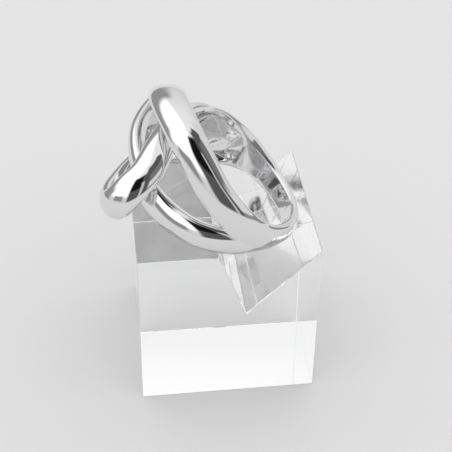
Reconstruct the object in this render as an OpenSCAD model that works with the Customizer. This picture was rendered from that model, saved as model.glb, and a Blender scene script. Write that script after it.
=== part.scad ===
// Interlocking ring lying in the notch of a clear display block.
// Two open loops of polished strip spring from one shank and pass through each other on its head.
// Millimetres, +Z up, origin at the middle of the block's base.

/* [Ring] */
// Inside diameter of the finger hole
hole_d = 18; // [17:0.5:19]
// Width of the shank opposite the head
shank_w = 3.2; // [2.8:0.1:3.6]
// Thickness of the shank opposite the head
shank_t = 1.5; // [1.2:0.1:1.9]
// Thickness of the strip that the loops are bent from
strip_t = 2.1; // [1.9:0.1:2.3]
// Depth of the hollow under the back of the head
pocket_depth = 0.9; // [0.5:0.1:1.1]

/* [Display block] */
// Side of the clear cube
block_side = 24; // [22:0.5:28]
// Depth of the notch below the cube's top
notch_depth = 9.7; // [9:0.1:11]
// Width of the notch at the top, measured from the cube's right edge
notch_w = 13.5; // [13:0.1:13.8]

/* [Hidden] */
$fn = 64;

hole_r = hole_d / 2;
half = block_side / 2;
// The notch's right side climbs at 45 degrees to the cube's right edge
notch_x = half - notch_depth;

// How the ring leans, and the place where the outside of its shank rests against the notch's slope
lean = [-8.6, -52.3, 0.7];
rest = [half - 2, -2.7, block_side - 1.65];

// Direction from the shank to the head, and the middle of the finger hole
head = [
    cos(lean.z) * sin(lean.y) * cos(lean.x) + sin(lean.z) * sin(lean.x),
    sin(lean.z) * sin(lean.y) * cos(lean.x) - cos(lean.z) * sin(lean.x),
    cos(lean.y) * cos(lean.x)
];
seat = rest + (hole_r + shank_t) * head;

// Columns of the strip tables. Across runs along the finger. Turn goes round it from the head (0)
// over the far side (90), the shank (180) and the near side (270) to the head again (360). Rise
// is the height of the strip's inner face above the wall of the finger hole. Roll tips the strip
// about its own path.
ACROSS = 0;
TURN = 1;
RISE = 2;
WIDE = 3;
ROLL = 4;
THICK = 5;

// How far a section's round edge goes under before the flat inner face begins. A strip wider than
// full_edge_w has a thinner edge.
edge_turn = 42;
full_edge_w = 6;
dome_sides = 12;
steps = 5;

// Thickness where the shank starts to thin, and of the broad band on the far side
shank_side_t = shank_t + 0.2;
band_t = strip_t + 0.3;

// From the back of the head down the far side as a broad band, along the shank, up the near
// right, over the head, round a tight bend and back down the near left into the shank
near_strip = [
    [-1.2, 31, 0.3, 9, 0, strip_t - 0.5],
    [-1.2, 45, 0, 10.6, 0, strip_t - 0.2],
    [-0.9, 60, 0, 10.2, 0, strip_t],
    [-0.5, 75, 0, 8.9, 0, band_t - 0.1],
    [-0.1, 90, 0, 7, 0, band_t],
    [0.1, 105, 0, 5.4, 0, band_t],
    [0.1, 125, 0, 4, 0, strip_t],
    [0, 150, 0, 3.3, 0, shank_side_t],
    [0, 180, 0, shank_w, 0, shank_t],
    [-0.1, 210, 0, 3.2, 0, shank_side_t],
    [-0.5, 223, 0, 3.6, 0, shank_side_t + 0.1],
    [-1, 235, 0, 4.4, 0, strip_t - 0.2],
    [-1.3, 246, 0, 5.2, 0, strip_t - 0.2],
    [-1, 256, 0, 5.1, 0, strip_t - 0.1],
    [-0.5, 264, 0, 4.7, -1, strip_t - 0.1],
    [-0.1, 272, 0, 4.4, -2, strip_t - 0.1],
    [0.7, 293, 0.2, 4.4, -10, strip_t - 0.1],
    [1.9, 314, 0.9, 4.5, -26, strip_t],
    [3, 332, 2.3, 4.6, -38, strip_t],
    [3.4, 348, 3.4, 4.8, -46, strip_t],
    [3.1, 364, 4.2, 5, -48, strip_t],
    [2.3, 377, 4.5, 5, -48, strip_t],
    [1.2, 387, 4.7, 4.5, -52, strip_t + 0.1],
    [-0.3, 388, 4.7, 4.2, -54, strip_t + 0.1],
    [-1.5, 379, 4.4, 4.1, -52, strip_t],
    [-2.5, 366, 4, 4, -48, strip_t],
    [-3.3, 354, 3.4, 4, -44, strip_t],
    [-4.6, 341, 2.3, 3.9, -28, strip_t],
    [-5.6, 325, 1.1, 3.8, -8, strip_t],
    [-5.8, 308, 0.3, 3.8, 0, strip_t],
    [-5.2, 288, 0.1, 3.8, 0, strip_t],
    [-4.1, 270, 0, 3.8, 0, strip_t],
    [-2.9, 254, 0, 3.8, 0, strip_t - 0.1],
    [-2.3, 245, 0.1, 3.2, 0, strip_t - 0.3],
    [-1.7, 236, 0.2, 2.4, 0, strip_t - 0.7]
];
// The rows in the middle of the shank and of the tight bend
shank_row = 8;
near_bend_row = 23;

// From the band's left edge over the head, round the near left of it and back to the band's
// right edge, over one leg of the near strip's loop and under the other
far_strip = [
    [-3.6, 66, 0.3, 2.6, 0, strip_t - 0.6],
    [-4.3, 54, 0.2, 4, 0, strip_t - 0.2],
    [-4.8, 40, 0.3, 4.2, -12, strip_t],
    [-5.4, 24, 0.9, 4.2, -25, strip_t],
    [-6.2, 9, 1.5, 4, -35, strip_t],
    [-7, -5, 2.4, 3.9, -42, strip_t],
    [-7.7, -18, 3.8, 4.1, -46, strip_t],
    [-8.3, -28, 5.4, 4.3, -42, strip_t + 0.1],
    [-7.7, -34, 6.2, 4.3, -34, strip_t + 0.1],
    [-5.6, -34, 5.8, 4.3, -30, strip_t + 0.1],
    [-3.4, -31, 4.5, 4.2, -36, strip_t],
    [-1.5, -22, 3.3, 4.1, -46, strip_t],
    [0, -8, 2.1, 4, -44, strip_t],
    [1, 10, 1.5, 3.8, -20, strip_t],
    [1.7, 28, 0.7, 4.2, -5, strip_t],
    [1.9, 46, 0.3, 4, 0, strip_t - 0.2],
    [1.7, 60, 0.3, 2.8, 0, strip_t - 0.6]
];
far_bend_row = 8;

// The hollow under the band, cut from inside the finger hole. Its rows also start with across and
// turn, and their third column is half its width.
HALF_WIDE = 2;
pocket_rows = [
    [-0.35, 82, 2.7],
    [-0.6, 76, 3.3],
    [-0.75, 70, 3.8],
    [-0.9, 64, 4.2],
    [-1.1, 57, 4.5],
    [-1.2, 50, 4.7],
    [-1.3, 43, 4.8],
    [-1.35, 36, 4.8],
    [-1.35, 29, 4.8]
];
dent_length = 2.7;

// Where the slot between the far loop's two legs has its round end, and how far round it runs
slot_x = -1.4;
slot_turn = 37;
slot_run = 20;
slot_r = 1.5;
slot_h = 4 * strip_t;

function unit(v) = v / norm(v);

// Value between b and c at share t, on a curve that also heeds their neighbours a and d
function between(a, b, c, d, t) =
    0.5 * (2 * b + (c - a) * t + (2 * a - 5 * b + 4 * c - d) * t * t
        + (3 * b - a - 3 * c + d) * t * t * t);

// The table's rows with smooth steps put in between
function smooth(rows) =
    let (last = len(rows) - 1)
    [
        for (i = [0 : last - 1], k = [0 : steps - 1])
            let (
                b = rows[i],
                c = rows[i + 1],
                a = i == 0 ? 2 * b - c : rows[i - 1],
                d = i == last - 1 ? 2 * c - b : rows[i + 2]
            )
            between(a, b, c, d, k / steps),
        rows[last]
    ];

// Where a row's inner face lies, with the finger along X and the head up Z
function place(row) =
    let (r = hole_r + row[RISE])
    [row[ACROSS], r * sin(row[TURN]), r * cos(row[TURN])];

// Outline of one section: a flat inner face closed by a dome
function section(row, at, way) =
    let (
        out = unit([0, at.y, at.z]),
        up = unit(out - (out * way) * way),
        lift = cos(row[ROLL]) * up + sin(row[ROLL]) * cross(up, way),
        side = cross(lift, way),
        under = edge_turn * min(1, pow(full_edge_w / row[WIDE], 2)),
        dome = row[THICK] / (1 + sin(under)),
        mid = dome * sin(under)
    )
    [
        for (k = [0 : dome_sides])
            let (b = 180 + under - (180 + 2 * under) * k / dome_sides)
            at + side * row[WIDE] / 2 * cos(b) + lift * (mid + dome * sin(b))
    ];

// The stretch of a strip between two rows, its section carried along the table's path
module stretch(rows, first_row, last_row) {
    fine = smooth(rows);
    path = [for (row = fine) place(row)];
    end = len(path) - 1;
    last = (last_row - first_row) * steps;
    around = dome_sides + 1;
    points = [
        for (i = [first_row * steps : last_row * steps])
            let (way = unit(path[min(i + 1, end)] - path[max(i - 1, 0)]))
            each section(fine[i], path[i], way)
    ];
    walls = [
        for (i = [0 : last - 1], k = [0 : around - 1])
            let (
                a = i * around + k,
                b = i * around + (k + 1) % around,
                c = b + around,
                d = a + around
            )
            each [[a, b, c], [a, c, d]]
    ];
    front = [for (k = [dome_sides : -1 : 0]) k];
    back = [for (k = [0 : dome_sides]) last * around + k];
    polyhedron(points = points, faces = concat(walls, [front, back]), convexity = 8);
}

// Moves a thing from the finger's axis to a place on the wall of the finger hole
module on_wall(across, turn) {
    rotate([-turn, 0, 0])
        translate([across, 0, hole_r])
            children();
}

// One dent of the hollow
module dent(row) {
    on_wall(row[ACROSS], row[TURN])
        scale([row[HALF_WIDE], min(row[HALF_WIDE], dent_length), pocket_depth])
            sphere(r = 1, $fn = 36);
}

// The hollow, run from dent to dent
module pocket() {
    for (i = [1 : len(pocket_rows) - 1])
        hull() {
            dent(pocket_rows[i - 1]);
            dent(pocket_rows[i]);
        }
}

// The slot between the far loop's two legs, round where it ends
module slot() {
    hull()
        for (turn = [slot_turn, slot_turn - slot_run])
            on_wall(slot_x, turn)
                cylinder(r = slot_r, h = slot_h, center = true);
}

// Ring about the middle of its finger hole. Each strip is in stretches that meet end to end.
module ring_upright() {
    stretch(near_strip, shank_row, near_bend_row);
    stretch(near_strip, near_bend_row, len(near_strip) - 1);
    difference() {
        union() {
            stretch(far_strip, 0, far_bend_row);
            stretch(far_strip, far_bend_row, len(far_strip) - 1);
            difference() {
                stretch(near_strip, 0, shank_row);
                slot();
            }
        }
        pocket();
    }
}

module ring() {
    color([0.8, 0.8, 0.81])
        translate(seat)
            rotate(lean)
                ring_upright();
}

module display_block() {
    color([0.86, 0.9, 0.92, 0.4])
        rotate([90, 0, 0])
            linear_extrude(height = block_side, center = true)
                polygon([
                    [-half, 0],
                    [half, 0],
                    [half, block_side],
                    [notch_x, block_side - notch_depth],
                    [half - notch_w, block_side],
                    [-half, block_side]
                ]);
}

ring();
display_block();
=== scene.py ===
"""Polished interlocking ring lying in the notch of a clear display block.

The ring's strips are swept along the same tables of sections as its solid, smoothed, joined into
one closed skin and hollowed under the back of the head. The block is a cube of clear acrylic with
an unequal notch. All tables are in millimetres; meshes are in metres in the row frame.
"""

import logging
import math
from dataclasses import dataclass, field
from enum import Enum

import bmesh
import bpy
from mathutils import Euler, Matrix, Vector


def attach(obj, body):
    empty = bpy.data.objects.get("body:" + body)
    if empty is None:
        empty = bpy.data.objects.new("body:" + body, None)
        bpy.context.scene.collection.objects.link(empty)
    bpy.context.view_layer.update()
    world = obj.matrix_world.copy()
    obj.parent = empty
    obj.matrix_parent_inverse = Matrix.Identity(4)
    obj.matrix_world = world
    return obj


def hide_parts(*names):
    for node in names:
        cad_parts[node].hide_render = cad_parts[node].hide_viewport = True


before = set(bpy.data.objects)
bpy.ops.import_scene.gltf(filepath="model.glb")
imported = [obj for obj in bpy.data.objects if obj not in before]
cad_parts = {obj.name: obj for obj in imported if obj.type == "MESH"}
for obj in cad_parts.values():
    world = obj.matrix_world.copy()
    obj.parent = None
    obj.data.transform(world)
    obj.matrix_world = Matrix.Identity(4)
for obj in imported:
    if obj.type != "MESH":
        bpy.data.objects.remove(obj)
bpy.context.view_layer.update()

MM = 0.001
BODY = "root"
LOG = logging.getLogger("ring_on_block")


class Join(Enum):
    """How one closed skin is combined with another."""

    ADD = "UNION"
    CUT = "DIFFERENCE"


@dataclass(frozen=True)
class Row:
    """One section of a strip: where its inner face lies on the finger and how it is turned."""

    across: float
    turn: float
    rise: float
    width: float
    roll: float
    thick: float

    def values(self) -> tuple[float, ...]:
        """The row's numbers in column order."""
        return (self.across, self.turn, self.rise, self.width, self.roll, self.thick)


def rows_from(table: list[tuple[float, ...]]) -> list[Row]:
    """Turns a plain table into named rows.

    Args:
        table: Lines of across, turn, rise, width, roll and thick.

    Returns:
        One Row for each line.
    """
    return [Row(*line) for line in table]


def between(a: Row, b: Row, c: Row, d: Row, share: float) -> Row:
    """Reads the smooth curve through four rows, part of the way from b to c.

    Args:
        a: The row before b.
        b: The row at share 0.
        c: The row at share 1.
        d: The row after c.
        share: How far along, from 0 to 1.

    Returns:
        The row at that place.
    """
    mixed = []
    for p, q, r, s in zip(a.values(), b.values(), c.values(), d.values()):
        square = 2 * p - 5 * q + 4 * r - s
        cube = 3 * q - p - 3 * r + s
        mixed.append(0.5 * (2 * q + (r - p) * share + square * share**2 + cube * share**3))
    return Row(*mixed)


def beyond(inner: Row, end: Row) -> Row:
    """Mirrors a row through the end of its table, for the curve's missing neighbour."""
    return Row(*[2 * e - i for i, e in zip(inner.values(), end.values())])


def smooth_rows(rows: list[Row], steps: int) -> list[Row]:
    """Puts evenly shared rows between the rows of a table.

    Args:
        rows: The table's rows.
        steps: How many spans to make of each gap.

    Returns:
        The longer list of rows, ends included.
    """
    padded = [beyond(rows[1], rows[0]), *rows, beyond(rows[-2], rows[-1])]
    fine = []
    for i in range(len(rows) - 1):
        for k in range(steps):
            fine.append(between(*padded[i:i + 4], k / steps))
    return [*fine, rows[-1]]


def deselect_all() -> None:
    """Clears the selection, leaving object mode if needed."""
    if bpy.context.object and bpy.context.object.mode != "OBJECT":
        bpy.ops.object.mode_set(mode="OBJECT")
    bpy.ops.object.select_all(action="DESELECT")


def make_active(obj: bpy.types.Object) -> None:
    """Selects one object alone and makes it active.

    Args:
        obj: The object.
    """
    deselect_all()
    obj.select_set(True)
    bpy.context.view_layer.objects.active = obj


def apply_modifier(obj: bpy.types.Object, kind: str, **settings: object) -> None:
    """Adds a modifier, sets it and applies it.

    Args:
        obj: The object to change.
        kind: The modifier's type.
        **settings: The modifier's properties.
    """
    make_active(obj)
    modifier = obj.modifiers.new(kind.lower(), kind)
    for name, value in settings.items():
        setattr(modifier, name, value)
    bpy.ops.object.modifier_apply(modifier=modifier.name)


def combine(target: bpy.types.Object, tool: bpy.types.Object, join: Join) -> None:
    """Adds one closed skin to another or cuts it away, then removes the tool.

    Args:
        target: The skin that is kept.
        tool: The skin that is added or cut.
        join: Which of the two.
    """
    apply_modifier(target, "BOOLEAN", object=tool, operation=join.value, solver="EXACT",
                   use_self=True)
    bpy.data.objects.remove(tool, do_unlink=True)


@dataclass
class Finger:
    """The finger hole: its radius, its middle over the block and how the ring leans."""

    hole_radius: float = 9.0
    seat: tuple[float, float, float] = (1.767, -1.23, 28.699)
    lean: tuple[float, float, float] = (-8.6, -52.3, 0.7)

    def place(self, row: Row) -> Vector:
        """Finds where a row's inner face lies.

        Args:
            row: The row.

        Returns:
            The place about the finger hole, in millimetres.
        """
        radius = self.hole_radius + row.rise
        turn = math.radians(row.turn)
        return Vector((row.across, radius * math.sin(turn), radius * math.cos(turn)))

    def to_row_frame(self) -> Matrix:
        """The matrix that takes the upright ring, in millimetres, to its place in metres."""
        turned = Euler([math.radians(angle) for angle in self.lean], "XYZ").to_matrix().to_4x4()
        return Matrix.Scale(MM, 4) @ Matrix.Translation(self.seat) @ turned


@dataclass
class Profile:
    """Outline of a strip's section: a dome over a flat inner face with soft corners.

    The flat's outer points stand a little inside the dome's ends and hold the corners. How far is
    a length, or a share of the width where the strip is narrow.
    """

    dome_points: int = 21
    flat_points: int = 4
    edge_turn: float = 42.0
    full_edge_width: float = 6.0
    support: float = 0.12
    support_share: float = 0.125

    def outline(self, width: float, thick: float) -> list[tuple[float, float]]:
        """Works out the section's outline.

        Args:
            width: The strip's full width.
            thick: The strip's full thickness.

        Returns:
            Points as side and lift, the dome first and then back along the flat.
        """
        under = math.radians(self.edge_turn) * min(1.0, (self.full_edge_width / width) ** 2)
        dome = thick / (1 + math.sin(under))
        middle = dome * math.sin(under)
        points = []
        for k in range(self.dome_points):
            angle = math.pi + under - (math.pi + 2 * under) * k / (self.dome_points - 1)
            points.append((width / 2 * math.cos(angle), middle + dome * math.sin(angle)))
        edge = width / 2 * math.cos(under) - min(self.support, width * self.support_share)
        for k in range(self.flat_points):
            points.append((edge - 2 * edge * k / (self.flat_points - 1), 0.0))
        return points


@dataclass
class RoundProfile:
    """Outline of a round cutter's section, about its own middle line."""

    points: int = 28

    def outline(self, width: float, thick: float) -> list[tuple[float, float]]:
        """An oval of that full width, reaching thick above and below the middle line."""
        turns = [math.pi - 2 * math.pi * k / self.points for k in range(self.points)]
        return [(width / 2 * math.cos(t), thick * math.sin(t)) for t in turns]


@dataclass
class Strip:
    """A closed strip: one section drawn along a path over the finger."""

    name: str
    rows: list[Row]
    finger: Finger
    profile: Profile | RoundProfile = field(default_factory=Profile)
    steps: int = 3
    levels: int = 2

    def sections(self) -> list[list[Vector]]:
        """Places the outline at each row of the smoothed table.

        Returns:
            The points of each section, about the finger hole, in millimetres.
        """
        fine = smooth_rows(self.rows, self.steps)
        path = [self.finger.place(row) for row in fine]
        last = len(path) - 1
        placed = []
        for i, row in enumerate(fine):
            way = (path[min(i + 1, last)] - path[max(i - 1, 0)]).normalized()
            out = Vector((0, path[i].y, path[i].z)).normalized()
            up = (out - out.dot(way) * way).normalized()
            roll = math.radians(row.roll)
            lift = math.cos(roll) * up + math.sin(roll) * up.cross(way)
            side = lift.cross(way)
            outline = self.profile.outline(row.width, row.thick)
            placed.append([path[i] + side * u + lift * v for u, v in outline])
        return placed

    def build(self) -> bpy.types.Object:
        """Draws the first section, extrudes it along the path and rounds the result.

        Returns:
            The closed strip, in millimetres about the finger hole.
        """
        placed = self.sections()
        deselect_all()
        bpy.ops.mesh.primitive_circle_add(vertices=len(placed[0]), radius=1, fill_type="NGON")
        obj = bpy.context.object
        obj.name = self.name
        bpy.ops.object.mode_set(mode="EDIT")
        mesh = bmesh.from_edit_mesh(obj.data)
        mesh.verts.ensure_lookup_table()
        ring = [vert.index for vert in mesh.verts]
        for index, point in zip(ring, placed[0]):
            mesh.verts[index].co = point
        for points in placed[1:]:
            bpy.ops.mesh.extrude_region()
            mesh = bmesh.from_edit_mesh(obj.data)
            mesh.verts.ensure_lookup_table()
            ring = [self.moved_on(mesh.verts[index]) for index in ring]
            for index, point in zip(ring, points):
                mesh.verts[index].co = point
        bmesh.update_edit_mesh(obj.data)
        bpy.ops.mesh.select_all(action="SELECT")
        bpy.ops.mesh.normals_make_consistent(inside=False)
        bpy.ops.object.mode_set(mode="OBJECT")
        apply_modifier(obj, "SUBSURF", levels=self.levels, render_levels=self.levels)
        return obj

    @staticmethod
    def moved_on(vert: bmesh.types.BMVert) -> int:
        """The new vertex that the last extrusion drew out of an older one."""
        return next(edge.other_vert(vert) for edge in vert.link_edges
                    if edge.other_vert(vert).select).index


@dataclass
class Ring:
    """The ring in one piece: two looped strips on a shank, hollowed under the back of the head."""

    finger: Finger = field(default_factory=Finger)
    shank_width: float = 3.2
    shank_thick: float = 1.5
    strip_thick: float = 2.1
    pocket_depth: float = 0.9
    pocket_steps: int = 3
    pocket_tip_radius: float = 3.0
    pocket_tip_drift: float = 0.1
    pocket_tip_slice: int = 9
    slot_turn: float = 37.0
    slot_across: float = -1.4
    slot_radius: float = 1.5
    slot_sides: int = 64
    slot_lift: float = 0.5
    slot_spare: float = 1.2
    seam_merge: float = 0.002
    crease_angle: float = 32.0

    def near_strip(self) -> Strip:
        """Runs from the back of the head down the far side, along the shank, up the near right,
        over the head, round a tight bend and back down the near left into the shank.

        Returns:
            The strip, not yet built.
        """
        strip, shank, width = self.strip_thick, self.shank_thick, self.shank_width
        side, band = shank + 0.2, strip + 0.3
        table = [
            (-1.2, 31, 0.3, 9, 0, strip - 0.5),
            (-1.2, 45, 0, 10.6, 0, strip - 0.2),
            (-0.9, 60, 0, 10.2, 0, strip),
            (-0.5, 75, 0, 8.9, 0, band - 0.1),
            (-0.1, 90, 0, 7, 0, band),
            (0.1, 105, 0, 5.4, 0, band),
            (0.1, 125, 0, 4, 0, strip),
            (0, 150, 0, 3.3, 0, side),
            (0, 180, 0, width, 0, shank),
            (-0.1, 210, 0, 3.2, 0, side),
            (-0.5, 223, 0, 3.6, 0, side + 0.1),
            (-1, 235, 0, 4.4, 0, strip - 0.2),
            (-1.3, 246, 0, 5.2, 0, strip - 0.2),
            (-1, 256, 0, 5.1, 0, strip - 0.1),
            (-0.5, 264, 0, 4.7, -1, strip - 0.1),
            (-0.1, 272, 0, 4.4, -2, strip - 0.1),
            (0.7, 293, 0.2, 4.4, -10, strip - 0.1),
            (1.9, 314, 0.9, 4.5, -26, strip),
            (3, 332, 2.3, 4.6, -38, strip),
            (3.4, 348, 3.4, 4.8, -46, strip),
            (3.1, 364, 4.2, 5, -48, strip),
            (2.3, 377, 4.5, 5, -48, strip),
            (1.2, 387, 4.7, 4.5, -52, strip + 0.1),
            (-0.3, 388, 4.7, 4.2, -54, strip + 0.1),
            (-1.5, 379, 4.4, 4.1, -52, strip),
            (-2.5, 366, 4, 4, -48, strip),
            (-3.3, 354, 3.4, 4, -44, strip),
            (-4.6, 341, 2.3, 3.9, -28, strip),
            (-5.6, 325, 1.1, 3.8, -8, strip),
            (-5.8, 308, 0.3, 3.8, 0, strip),
            (-5.2, 288, 0.1, 3.8, 0, strip),
            (-4.1, 270, 0, 3.8, 0, strip),
            (-2.9, 254, 0, 3.8, 0, strip - 0.1),
            (-2.3, 245, 0.1, 3.2, 0, strip - 0.3),
            (-1.7, 236, 0.2, 2.4, 0, strip - 0.7),
        ]
        return Strip("near_strip", rows_from(table), self.finger)

    def far_strip(self) -> Strip:
        """Runs from the band's left edge over the head, round the near left of it and back to the
        band's right edge, over one leg of the near strip's loop and under the other.

        Returns:
            The strip, not yet built.
        """
        strip = self.strip_thick
        table = [
            (-3.6, 66, 0.3, 2.6, 0, strip - 0.6),
            (-4.3, 54, 0.2, 4, 0, strip - 0.2),
            (-4.8, 40, 0.3, 4.2, -12, strip),
            (-5.4, 24, 0.9, 4.2, -25, strip),
            (-6.2, 9, 1.5, 4, -35, strip),
            (-7, -5, 2.4, 3.9, -42, strip),
            (-7.7, -18, 3.8, 4.1, -46, strip),
            (-8.3, -28, 5.4, 4.3, -42, strip + 0.1),
            (-7.7, -34, 6.2, 4.3, -34, strip + 0.1),
            (-5.6, -34, 5.8, 4.3, -30, strip + 0.1),
            (-3.4, -31, 4.5, 4.2, -36, strip),
            (-1.5, -22, 3.3, 4.1, -46, strip),
            (0, -8, 2.1, 4, -44, strip),
            (1, 10, 1.5, 3.8, -20, strip),
            (1.7, 28, 0.7, 4.2, -5, strip),
            (1.9, 46, 0.3, 4, 0, strip - 0.2),
            (1.7, 60, 0.3, 2.8, 0, strip - 0.6),
        ]
        return Strip("far_strip", rows_from(table), self.finger)

    def pocket(self) -> Strip:
        """Follows the hole's wall with the hollow's cutter and ends it in a round tip.

        Returns:
            The cutter, not yet built.
        """
        sides = rows_from([
            (-1.35, 29, 0, 9.6, 0, self.pocket_depth),
            (-1.3, 43, 0, 9.6, 0, self.pocket_depth),
            (-1.1, 57, 0, 9, 0, self.pocket_depth),
            (-0.8, 69, 0, 7.9, 0, self.pocket_depth),
            (-0.45, 80, 0, 6, 0, self.pocket_depth),
        ])
        table = smooth_rows(sides, self.pocket_steps)[:-1]
        end = sides[-1]
        reach = math.degrees(self.pocket_tip_radius / self.finger.hole_radius)
        for slice_turn in range(0, 90, self.pocket_tip_slice):
            away, size = math.sin(math.radians(slice_turn)), math.cos(math.radians(slice_turn))
            table.append(Row(end.across + self.pocket_tip_drift * away, end.turn + reach * away,
                             end.rise, end.width * size, end.roll, end.thick * size))
        return Strip("pocket_cutter", table, self.finger, RoundProfile(), steps=1)

    def slot(self) -> bpy.types.Object:
        """The cutter that frees the far loop's two legs, a bar with a round end.

        Returns:
            The closed cutter, in millimetres about the finger hole.
        """
        deselect_all()
        bpy.ops.mesh.primitive_cylinder_add(
            vertices=self.slot_sides, radius=self.slot_radius,
            depth=self.strip_thick + self.slot_spare,
            location=(self.slot_across, 0, self.finger.hole_radius + self.slot_lift))
        bar = bpy.context.object
        run = 2 * self.slot_radius
        bpy.ops.object.mode_set(mode="EDIT")
        mesh = bmesh.from_edit_mesh(bar.data)
        for vert in mesh.verts:
            if vert.co.y < 0:
                vert.co.y -= run
        bmesh.update_edit_mesh(bar.data)
        bpy.ops.object.mode_set(mode="OBJECT")
        bpy.ops.object.transform_apply(location=True, rotation=True, scale=True)
        bar.data.transform(Matrix.Rotation(-math.radians(self.slot_turn), 4, "X"))
        return bar

    def build(self) -> bpy.types.Object:
        """Joins the strips, cuts the slot and the hollow and lays the ring on the block.

        Returns:
            The finished ring.
        """
        ring = self.near_strip().build()
        combine(ring, self.slot(), Join.CUT)
        combine(ring, self.far_strip().build(), Join.ADD)
        combine(ring, self.pocket().build(), Join.CUT)
        ring.name = ring.data.name = "interlocking_ring"
        ring.data.transform(self.finger.to_row_frame())
        make_active(ring)
        bpy.ops.object.mode_set(mode="EDIT")
        bpy.ops.mesh.select_all(action="SELECT")
        bpy.ops.mesh.remove_doubles(threshold=self.seam_merge * MM)
        bpy.ops.mesh.dissolve_degenerate(threshold=self.seam_merge * MM)
        bpy.ops.mesh.normals_make_consistent(inside=False)
        bpy.ops.object.mode_set(mode="OBJECT")
        bpy.ops.object.shade_smooth_by_angle(angle=math.radians(self.crease_angle))
        return ring

    def dress(self, obj: bpy.types.Object, finish: "PolishedSilver") -> None:
        """Gives the ring its finish and its place in the row.

        Args:
            obj: The finished ring.
            finish: The metal.
        """
        obj.data.materials.clear()
        obj.data.materials.append(finish.material())
        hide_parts("ring")
        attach(obj, BODY)


@dataclass
class DisplayBlock:
    """A clear cube with an unequal notch across its top."""

    side: float = 24.0
    notch_depth: float = 9.7
    notch_width: float = 13.5
    edge_round: float = 0.12
    edge_segments: int = 3
    flat_angle: float = 1.0
    same_place: float = 0.01

    def build(self) -> bpy.types.Object:
        """Cuts a cube's top along two lines, sinks the notch and eases the edges.

        Returns:
            The finished block.
        """
        side, half = self.side * MM, self.side * MM / 2
        deselect_all()
        bpy.ops.mesh.primitive_cube_add(size=side, location=(0, 0, half))
        block = bpy.context.object
        block.name = block.data.name = "clear_display_block"
        bpy.ops.object.transform_apply(location=True, rotation=True, scale=True)
        notch_left = half - self.notch_width * MM
        notch_foot = half - self.notch_depth * MM
        bpy.ops.object.mode_set(mode="EDIT")
        for across in (notch_left, notch_foot):
            bpy.ops.mesh.select_all(action="SELECT")
            bpy.ops.mesh.bisect(plane_co=(across, 0, 0), plane_no=(1, 0, 0))
        mesh = bmesh.from_edit_mesh(block.data)
        for vert in mesh.verts:
            on_foot = abs(vert.co.x - notch_foot) < self.same_place * MM
            vert.select_set(on_foot and vert.co.z > half)
        mesh.select_flush_mode()
        bmesh.update_edit_mesh(block.data)
        bpy.ops.transform.translate(value=(0, 0, -self.notch_depth * MM))
        bpy.ops.mesh.select_all(action="SELECT")
        bpy.ops.mesh.dissolve_limited(angle_limit=math.radians(self.flat_angle))
        bpy.ops.mesh.normals_make_consistent(inside=False)
        bpy.ops.object.mode_set(mode="OBJECT")
        apply_modifier(block, "BEVEL", width=self.edge_round * MM, segments=self.edge_segments,
                       limit_method="ANGLE")
        return block

    def dress(self, obj: bpy.types.Object, finish: "ClearAcrylic") -> None:
        """Gives the block its finish and its place in the row.

        Args:
            obj: The finished block.
            finish: The acrylic.
        """
        obj.data.materials.clear()
        obj.data.materials.append(finish.material())
        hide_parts("display_block")
        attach(obj, BODY)


def new_material(name: str) -> tuple[bpy.types.Material, bpy.types.NodeTree, bpy.types.Node]:
    """Starts a node material.

    Args:
        name: The material's name.

    Returns:
        The material, its node tree and its Principled shader.
    """
    material = bpy.data.materials.new(name)
    material.use_nodes = True
    tree = material.node_tree
    return material, tree, tree.nodes["Principled BSDF"]


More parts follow.
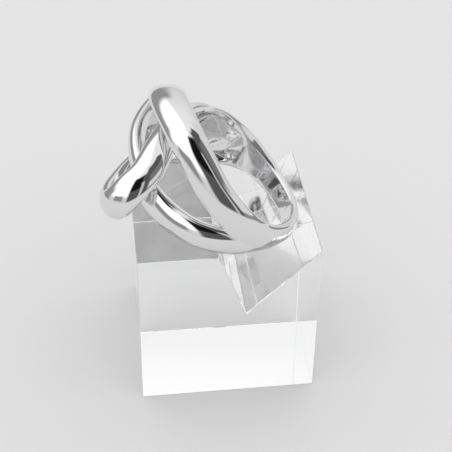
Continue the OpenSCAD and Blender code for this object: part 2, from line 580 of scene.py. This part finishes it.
def wear_group() -> bpy.types.NodeTree:
    """Builds the shared effect of polishing and handling: a slight swell, faint hairlines and
    cloudy smudges.

    Returns:
        A group with inputs Scale, Gloss, Cloud and Swell, and outputs Roughness and Height.
    """
    name = "handling_wear"
    cloud_detail, line_detail, swell_detail = 3.0, 6.0, 0.5
    line_fineness = 9.0
    line_stretch = (1.0, 0.12, 1.0)
    if name in bpy.data.node_groups:
        return bpy.data.node_groups[name]
    tree = bpy.data.node_groups.new(name, "ShaderNodeTree")
    for label, value in (("Scale", 300.0), ("Gloss", 0.05), ("Cloud", 0.03), ("Swell", 0.0)):
        socket = tree.interface.new_socket(label, in_out="INPUT", socket_type="NodeSocketFloat")
        socket.default_value = value
    for label in ("Roughness", "Height"):
        tree.interface.new_socket(label, in_out="OUTPUT", socket_type="NodeSocketFloat")
    source = tree.nodes.new("NodeGroupInput")
    sink = tree.nodes.new("NodeGroupOutput")
    place = tree.nodes.new("ShaderNodeTexCoord")
    clouds = tree.nodes.new("ShaderNodeTexNoise")
    clouds.inputs["Detail"].default_value = cloud_detail
    lines = tree.nodes.new("ShaderNodeTexNoise")
    lines.inputs["Detail"].default_value = line_detail
    swells = tree.nodes.new("ShaderNodeTexNoise")
    swells.inputs["Detail"].default_value = swell_detail
    finer = tree.nodes.new("ShaderNodeMath")
    finer.operation = "MULTIPLY"
    finer.inputs[1].default_value = line_fineness
    stretch = tree.nodes.new("ShaderNodeMapping")
    stretch.inputs["Scale"].default_value = line_stretch
    spread = tree.nodes.new("ShaderNodeMath")
    spread.operation = "MULTIPLY_ADD"
    rise = tree.nodes.new("ShaderNodeMath")
    rise.operation = "MULTIPLY_ADD"
    link = tree.links.new
    link(place.outputs["Object"], clouds.inputs["Vector"])
    link(place.outputs["Object"], stretch.inputs["Vector"])
    link(stretch.outputs["Vector"], lines.inputs["Vector"])
    link(place.outputs["Object"], swells.inputs["Vector"])
    link(source.outputs["Scale"], clouds.inputs["Scale"])
    link(source.outputs["Scale"], swells.inputs["Scale"])
    link(source.outputs["Scale"], finer.inputs[0])
    link(finer.outputs[0], lines.inputs["Scale"])
    link(clouds.outputs["Fac"], spread.inputs[0])
    link(source.outputs["Cloud"], spread.inputs[1])
    link(source.outputs["Gloss"], spread.inputs[2])
    link(spread.outputs[0], sink.inputs["Roughness"])
    link(swells.outputs["Fac"], rise.inputs[0])
    link(source.outputs["Swell"], rise.inputs[1])
    link(lines.outputs["Fac"], rise.inputs[2])
    link(rise.outputs[0], sink.inputs["Height"])
    return tree


def add_wear(tree: bpy.types.NodeTree, shader: bpy.types.Node, scale: float, gloss: float,
             cloud: float, swell: float, relief: float) -> None:
    """Places the handling wear in a material.

    Args:
        tree: The material's nodes.
        shader: Its Principled shader.
        scale: Size of the clouds, as a noise scale.
        gloss: Roughness of the clean surface.
        cloud: How much rougher the smudges are.
        swell: Height of the slow waves, as a multiple of the hairlines' depth.
        relief: Depth of the hairlines, in metres.
    """
    wear = tree.nodes.new("ShaderNodeGroup")
    wear.node_tree = wear_group()
    wear.inputs["Scale"].default_value = scale
    wear.inputs["Gloss"].default_value = gloss
    wear.inputs["Cloud"].default_value = cloud
    wear.inputs["Swell"].default_value = swell
    bump = tree.nodes.new("ShaderNodeBump")
    bump.inputs["Strength"].default_value = 1.0
    bump.inputs["Distance"].default_value = relief
    tree.links.new(wear.outputs["Roughness"], shader.inputs["Roughness"])
    tree.links.new(wear.outputs["Height"], bump.inputs["Height"])
    tree.links.new(bump.outputs["Normal"], shader.inputs["Normal"])


@dataclass(frozen=True)
class PolishedSilver:
    """Mirror-polished silver with faint handling marks."""

    colour: tuple[float, float, float, float] = (0.82, 0.82, 0.825, 1.0)
    wear_scale: float = 260.0
    gloss: float = 0.035
    cloud: float = 0.05
    swell: float = 60.0
    relief: float = 0.0000004

    def material(self) -> bpy.types.Material:
        """Builds the silver.

        Returns:
            The material.
        """
        material, tree, shader = new_material("polished_silver")
        shader.inputs["Base Color"].default_value = self.colour
        shader.inputs["Metallic"].default_value = 1.0
        add_wear(tree, shader, self.wear_scale, self.gloss, self.cloud, self.swell, self.relief)
        return material


@dataclass(frozen=True)
class ClearAcrylic:
    """Flame-polished clear acrylic."""

    colour: tuple[float, float, float, float] = (0.995, 0.997, 1.0, 1.0)
    refraction: float = 1.49
    wear_scale: float = 120.0
    gloss: float = 0.01
    cloud: float = 0.02
    swell: float = 10.0
    relief: float = 0.0000002

    def material(self) -> bpy.types.Material:
        """Builds the acrylic.

        Returns:
            The material.
        """
        material, tree, shader = new_material("clear_acrylic")
        shader.inputs["Base Color"].default_value = self.colour
        shader.inputs["Transmission Weight"].default_value = 1.0
        shader.inputs["IOR"].default_value = self.refraction
        add_wear(tree, shader, self.wear_scale, self.gloss, self.cloud, self.swell, self.relief)
        return material


@dataclass(frozen=True)
class PaleSurface:
    """The plain pale surface that the block stands on."""

    colour: tuple[float, float, float, float] = (0.72, 0.72, 0.72, 1.0)
    roughness: float = 0.8

    def material(self) -> bpy.types.Material:
        """Builds the surface.

        Returns:
            The material.
        """
        material, _, shader = new_material("pale_surface")
        shader.inputs["Base Color"].default_value = self.colour
        shader.inputs["Roughness"].default_value = self.roughness
        return material


@dataclass(frozen=True)
class Panel:
    """A soft-edged panel of brighter or darker surroundings, far from the object.

    Azimuth 0 is along +Y and 90 along +X; all angles are in degrees.
    """

    azimuth: float
    elevation: float
    half_width: float
    half_height: float
    fade: float
    level: float

    def ahead(self) -> Vector:
        """The level direction towards the panel's middle."""
        turn = math.radians(self.azimuth)
        return Vector((math.sin(turn), math.cos(turn), 0))

    def aside(self) -> Vector:
        """The level direction along the panel, to the right as seen from the object."""
        turn = math.radians(self.azimuth)
        return Vector((math.cos(turn), -math.sin(turn), 0))


@dataclass
class Studio:
    """Floor, soft surroundings and camera."""

    floor_size: float = 3.0
    floor_drop: float = 0.00005
    light_bounces: int = 20
    plain_level: float = 1.08
    clear_low_level: float = 0.91
    clear_zenith_level: float = 2.0
    clear_rise_from: float = 0.68
    horizon_level: float = 0.7
    zenith_level: float = 0.95
    panels: tuple[Panel, ...] = (
        # Bright left side and ceiling, and the duller right side with a dark upper edge
        Panel(-95, 58, 78, 34, 10, 1.25),
        Panel(105, 32, 42, 26, 12, 0.78),
        Panel(128, 50, 22, 16, 6, 0.2),
        Panel(122, 66, 30, 8, 5, 0.1),
        # Grey things low on the far left, the near left and the right
        Panel(-50, 15, 44, 13, 14, 0.33),
        Panel(-137, 14, 12, 6, 6, 0.3),
        Panel(110, 3, 50, 4, 5, 0.3),
        # Dark room in front of the block, with one pale upright in it
        Panel(168, 34, 22, 30, 7, 0.1),
        Panel(176, 50, 13, 15, 5, 0.005),
        Panel(158, 22, 2, 24, 3, 0.6),
    )
    camera_place: tuple[float, float, float] = (-0.014939, -0.122214, 0.113338)
    camera_yaw: float = 7.384
    camera_pitch: float = 37.158
    camera_roll: float = 0.791
    lens: float = 88.66
    sensor: float = 36.0
    near_clip: float = 0.001

    def build_floor(self) -> bpy.types.Object:
        """Lays the plain floor.

        Returns:
            The floor.
        """
        deselect_all()
        bpy.ops.mesh.primitive_plane_add(size=self.floor_size, location=(0, 0, -self.floor_drop))
        floor = bpy.context.object
        floor.name = "floor"
        bpy.ops.object.transform_apply(location=True, rotation=True, scale=True)
        floor.data.materials.append(PaleSurface().material())
        return floor

    def build_light(self) -> None:
        """Lights the floor from a plain pale dome. Through the clear block it is brighter overhead,
        and what polished metal mirrors also has the room's soft bright and dark patches."""
        world = bpy.data.worlds.new("soft_tent")
        world.use_nodes = True
        bpy.context.scene.world = world
        tree = world.node_tree
        link = tree.links.new
        place = tree.nodes.new("ShaderNodeTexCoord")
        height = tree.nodes.new("ShaderNodeSeparateXYZ")
        link(place.outputs["Generated"], height.inputs[0])
        elevation = self.arithmetic(tree, "ARCSINE", height.outputs["Z"])
        level = self.dome(tree, height.outputs["Z"], 0.0, self.horizon_level, self.zenith_level)
        for panel in self.panels:
            level = self.add_panel(tree, place.outputs["Generated"], elevation, level, panel)
        ray = tree.nodes.new("ShaderNodeLightPath")
        mirrored = self.arithmetic(tree, "SUBTRACT", ray.outputs["Is Glossy Ray"],
                                   ray.outputs["Is Transmission Ray"])
        mirrored.node.use_clamp = True
        clear = self.dome(tree, height.outputs["Z"], self.clear_rise_from, self.clear_low_level,
                          self.clear_zenith_level)
        plain = self.mixed(tree, ray.outputs["Is Transmission Ray"], self.plain_level, clear)
        seen = self.mixed(tree, mirrored, plain, level)
        link(seen, tree.nodes["Background"].inputs["Color"])

    @staticmethod
    def dome(tree: bpy.types.NodeTree, height: bpy.types.NodeSocket, start: float, low: float,
             zenith: float) -> bpy.types.NodeSocket:
        """Makes a brightness that rises towards the zenith.

        Args:
            tree: The node tree.
            height: The sine of the direction's elevation.
            start: The height from which it rises.
            low: The brightness up to there.
            zenith: The brightness overhead.

        Returns:
            The brightness.
        """
        rise = tree.nodes.new("ShaderNodeMapRange")
        rise.inputs["From Min"].default_value = start
        rise.inputs["To Min"].default_value = low
        rise.inputs["To Max"].default_value = zenith
        tree.links.new(height, rise.inputs["Value"])
        return rise.outputs["Result"]

    @staticmethod
    def mixed(tree: bpy.types.NodeTree, share: bpy.types.NodeSocket,
              *levels: bpy.types.NodeSocket | float) -> bpy.types.NodeSocket:
        """Goes from one brightness to another.

        Args:
            tree: The node tree.
            share: How much of the second brightness there is, from 0 to 1.
            *levels: The two brightnesses, sockets or numbers.

        Returns:
            The mixed brightness.
        """
        mix = tree.nodes.new("ShaderNodeMix")
        mix.data_type = "FLOAT"
        tree.links.new(share, mix.inputs["Factor"])
        for level, name in zip(levels, ("A", "B")):
            if isinstance(level, bpy.types.NodeSocket):
                tree.links.new(level, mix.inputs[name])
            else:
                mix.inputs[name].default_value = level
        return mix.outputs["Result"]

    @staticmethod
    def arithmetic(tree: bpy.types.NodeTree, operation: str,
                   *values: bpy.types.NodeSocket | float) -> bpy.types.NodeSocket:
        """Adds one step of arithmetic.

        Args:
            tree: The node tree.
            operation: What the step does.
            *values: Its inputs, sockets or numbers.

        Returns:
            The step's output.
        """
        step = tree.nodes.new("ShaderNodeMath")
        step.operation = operation
        for value, socket in zip(values, step.inputs):
            if isinstance(value, bpy.types.NodeSocket):
                tree.links.new(value, socket)
            else:
                socket.default_value = value
        return step.outputs[0]

    @staticmethod
    def along(tree: bpy.types.NodeTree, direction: bpy.types.NodeSocket,
              axis: Vector) -> bpy.types.NodeSocket:
        """How far a direction points along an axis.

        Args:
            tree: The node tree.
            direction: The direction's socket.
            axis: The axis.

        Returns:
            The dot product's socket.
        """
        product = tree.nodes.new("ShaderNodeVectorMath")
        product.operation = "DOT_PRODUCT"
        product.inputs[1].default_value = axis
        tree.links.new(direction, product.inputs[0])
        return product.outputs["Value"]

    def within(self, tree: bpy.types.NodeTree, angle: bpy.types.NodeSocket, middle: float,
               half: float, fade: float) -> bpy.types.NodeSocket:
        """Masks the angles near a middle one, with a soft edge.

        Args:
            tree: The node tree.
            angle: The angle's socket, in radians.
            middle: The middle angle, in degrees.
            half: How far the mask reaches on each side, in degrees.
            fade: The width of its soft edge, in degrees.

        Returns:
            A mask from 0 to 1.
        """
        offset = self.arithmetic(tree, "SUBTRACT", angle, math.radians(middle))
        mask = tree.nodes.new("ShaderNodeMapRange")
        mask.interpolation_type = "SMOOTHSTEP"
        mask.inputs["From Min"].default_value = math.radians(half + fade)
        mask.inputs["From Max"].default_value = math.radians(half)
        tree.links.new(self.arithmetic(tree, "ABSOLUTE", offset), mask.inputs["Value"])
        return mask.outputs["Result"]

    def add_panel(self, tree: bpy.types.NodeTree, direction: bpy.types.NodeSocket,
                  elevation: bpy.types.NodeSocket, level: bpy.types.NodeSocket,
                  panel: Panel) -> bpy.types.NodeSocket:
        """Mixes one panel into the surroundings.

        Args:
            tree: The world's nodes.
            direction: Where the direction comes from.
            elevation: The direction's height over the horizon, in radians.
            level: The brightness so far.
            panel: The panel to add.

        Returns:
            The socket with the new brightness.
        """
        azimuth = self.arithmetic(tree, "ARCTAN2", self.along(tree, direction, panel.aside()),
                                  self.along(tree, direction, panel.ahead()))
        mask = self.arithmetic(
            tree, "MULTIPLY",
            self.within(tree, azimuth, 0, panel.half_width, panel.fade),
            self.within(tree, elevation, panel.elevation, panel.half_height, panel.fade))
        return self.mixed(tree, mask, level, panel.level)

    def build_camera(self) -> bpy.types.Object:
        """Sets the camera at the photo's angle.

        Returns:
            The scene's camera.
        """
        yaw, pitch, roll = (math.radians(v) for v in
                            (self.camera_yaw, self.camera_pitch, self.camera_roll))
        ahead = Vector((math.sin(yaw) * math.cos(pitch), math.cos(yaw) * math.cos(pitch),
                        -math.sin(pitch)))
        level_right = Vector((math.cos(yaw), -math.sin(yaw), 0))
        level_up = level_right.cross(ahead)
        right = math.cos(roll) * level_right + math.sin(roll) * level_up
        up = math.cos(roll) * level_up - math.sin(roll) * level_right
        data = bpy.data.cameras.new("camera")
        data.lens = self.lens
        data.sensor_width = self.sensor
        data.clip_start = self.near_clip
        camera = bpy.data.objects.new("camera", data)
        bpy.context.scene.collection.objects.link(camera)
        turned = Matrix((right, up, -ahead)).transposed().to_4x4()
        camera.matrix_world = Matrix.Translation(self.camera_place) @ turned
        bpy.context.scene.camera = camera
        return camera

    def build(self) -> None:
        """Makes the floor, the surroundings and the camera."""
        self.build_floor()
        self.build_light()
        self.build_camera()
        scene = bpy.context.scene
        scene.view_settings.view_transform = "Standard"
        scene.cycles.max_bounces = self.light_bounces
        scene.cycles.glossy_bounces = self.light_bounces
        scene.cycles.transmission_bounces = self.light_bounces


def report(obj: bpy.types.Object) -> None:
    """Logs a finished piece with its number of faces."""
    LOG.info("%s: %d faces", obj.name, len(obj.data.polygons))


def main() -> None:
    """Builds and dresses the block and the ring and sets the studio."""
    logging.basicConfig(level=logging.INFO)
    Studio().build()
    block = DisplayBlock()
    block_piece = block.build()
    block.dress(block_piece, ClearAcrylic())
    report(block_piece)
    ring = Ring()
    ring_piece = ring.build()
    ring.dress(ring_piece, PolishedSilver())
    report(ring_piece)


if __name__ == "__main__":
    main()
